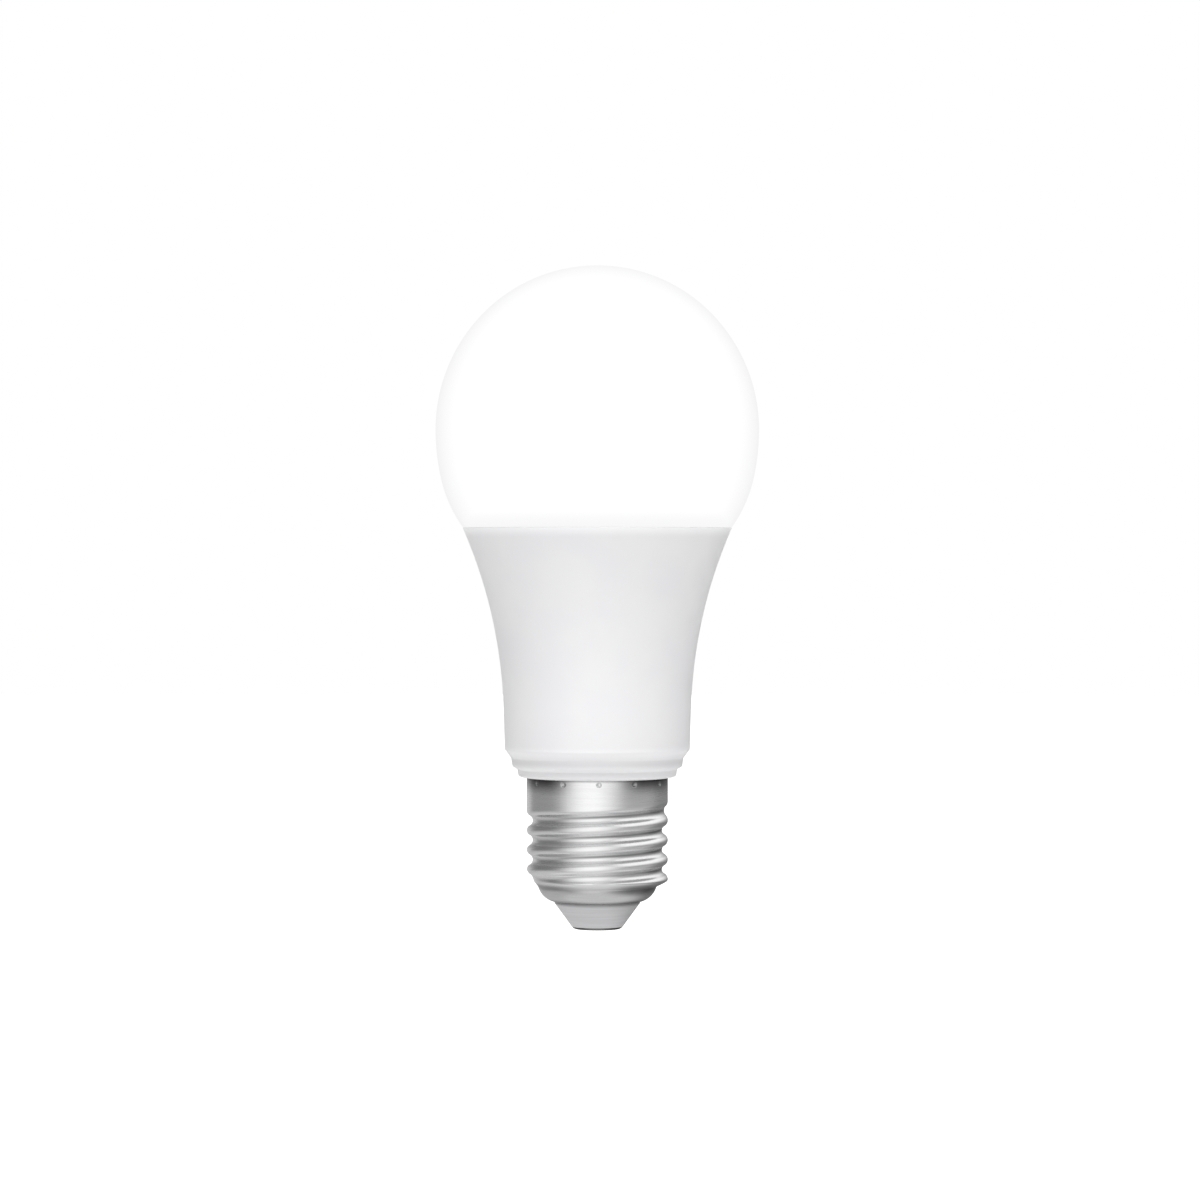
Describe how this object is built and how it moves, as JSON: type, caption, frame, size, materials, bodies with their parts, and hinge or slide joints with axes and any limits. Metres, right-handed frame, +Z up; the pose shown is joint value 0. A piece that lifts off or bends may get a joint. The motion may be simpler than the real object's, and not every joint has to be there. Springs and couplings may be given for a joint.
{
  "type": "smart light bulb",
  "caption": "Screw-in smart LED bulb: opal globe on a flared white housing, rolled metal screw cap, LED board, heat sink, driver board and radio module inside.",
  "frame": {"origin": "centre of the contact face at the foot of the screw cap", "axes": "+Z up along the bulb's axis from the contact to the crown of the globe; the driver board lies across Y with its front towards -Y"},
  "size_m": [0.06, 0.06, 0.1231],
  "materials": {
    "opal_plastic": "translucent opal, satin",
    "white_plastic": "fine moulded satin",
    "cap_nickel": "plated, rolled",
    "cap_insulator": "moulded satin",
    "contact_metal": "stamped",
    "silicone": "soft",
    "aluminium": "pressed",
    "thermal_paste": "smeared",
    "board_white": "solder mask",
    "led_package": "moulded",
    "phosphor_cool": "silicone gel",
    "phosphor_warm": "silicone gel",
    "screw_steel": "zinc plated",
    "socket_plastic": "moulded",
    "pin_metal": "gold flash",
    "board_green": "solder mask over glass fibre",
    "board_black": "solder mask over glass fibre",
    "antenna_copper": "gilt copper track",
    "tin": "tinned",
    "solder": "reflowed",
    "can_aluminium": "drawn",
    "sleeve_dark": "heat shrink",
    "film_yellow": "epoxy box",
    "ferrite": "sintered",
    "copper_wire": "enamelled",
    "resistor_coat": "lacquered",
    "varistor_blue": "epoxy dipped",
    "chip_black": "moulded epoxy",
    "chip_ceramic": "fired",
    "chip_resistor_black": "glazed",
    "bobbin_plastic": "moulded",
    "tape_yellow": "polyester film",
    "wire_red": "silicone insulation",
    "wire_white": "silicone insulation"
  },
  "bodies": {
    "root": {"diffuser": "opal_plastic", "seal_ring": "silicone", "housing": "white_plastic", "screw_shell": "cap_nickel", "insulator": "cap_insulator", "centre_contact": "contact_metal", "heat_sink": "aluminium", "thermal_grease": "thermal_paste", "led_board": "board_white", "cool_white_leds": "led_package", "warm_white_leds": "led_package", "cool_white_phosphor": "phosphor_cool", "warm_white_phosphor": "phosphor_warm", "led_board_screws": "screw_steel", "led_socket": "socket_plastic", "output_pins": "pin_metal", "driver_board": "board_green", "input_capacitor": "can_aluminium", "input_capacitor_sleeve": "sleeve_dark", "output_capacitor": "can_aluminium", "output_capacitor_sleeve": "sleeve_dark", "component_leads": "tin", "film_capacitor": "film_yellow", "choke_core": "ferrite", "choke_winding": "copper_wire", "fusible_resistor": "resistor_coat", "varistor": "varistor_blue", "bridge_rectifier": "chip_black", "driver_ic": "chip_black", "dimmer_transistors": "chip_black", "diodes": "chip_black", "package_leads": "tin", "chip_resistors": "chip_resistor_black", "chip_capacitors": "chip_ceramic", "solder_joints": "solder", "transformer_core": "ferrite", "transformer_bobbin": "bobbin_plastic", "transformer_winding": "copper_wire", "transformer_tape": "tape_yellow", "module_board": "board_black", "module_header": "bobbin_plastic", "module_pins": "pin_metal", "module_shield": "tin", "radio_chip": "chip_black", "module_crystal": "tin", "module_antenna": "antenna_copper", "live_wire": "wire_red", "live_conductor": "tin", "neutral_wire": "wire_white", "neutral_conductor": "tin"}
  },
  "joints": []
}
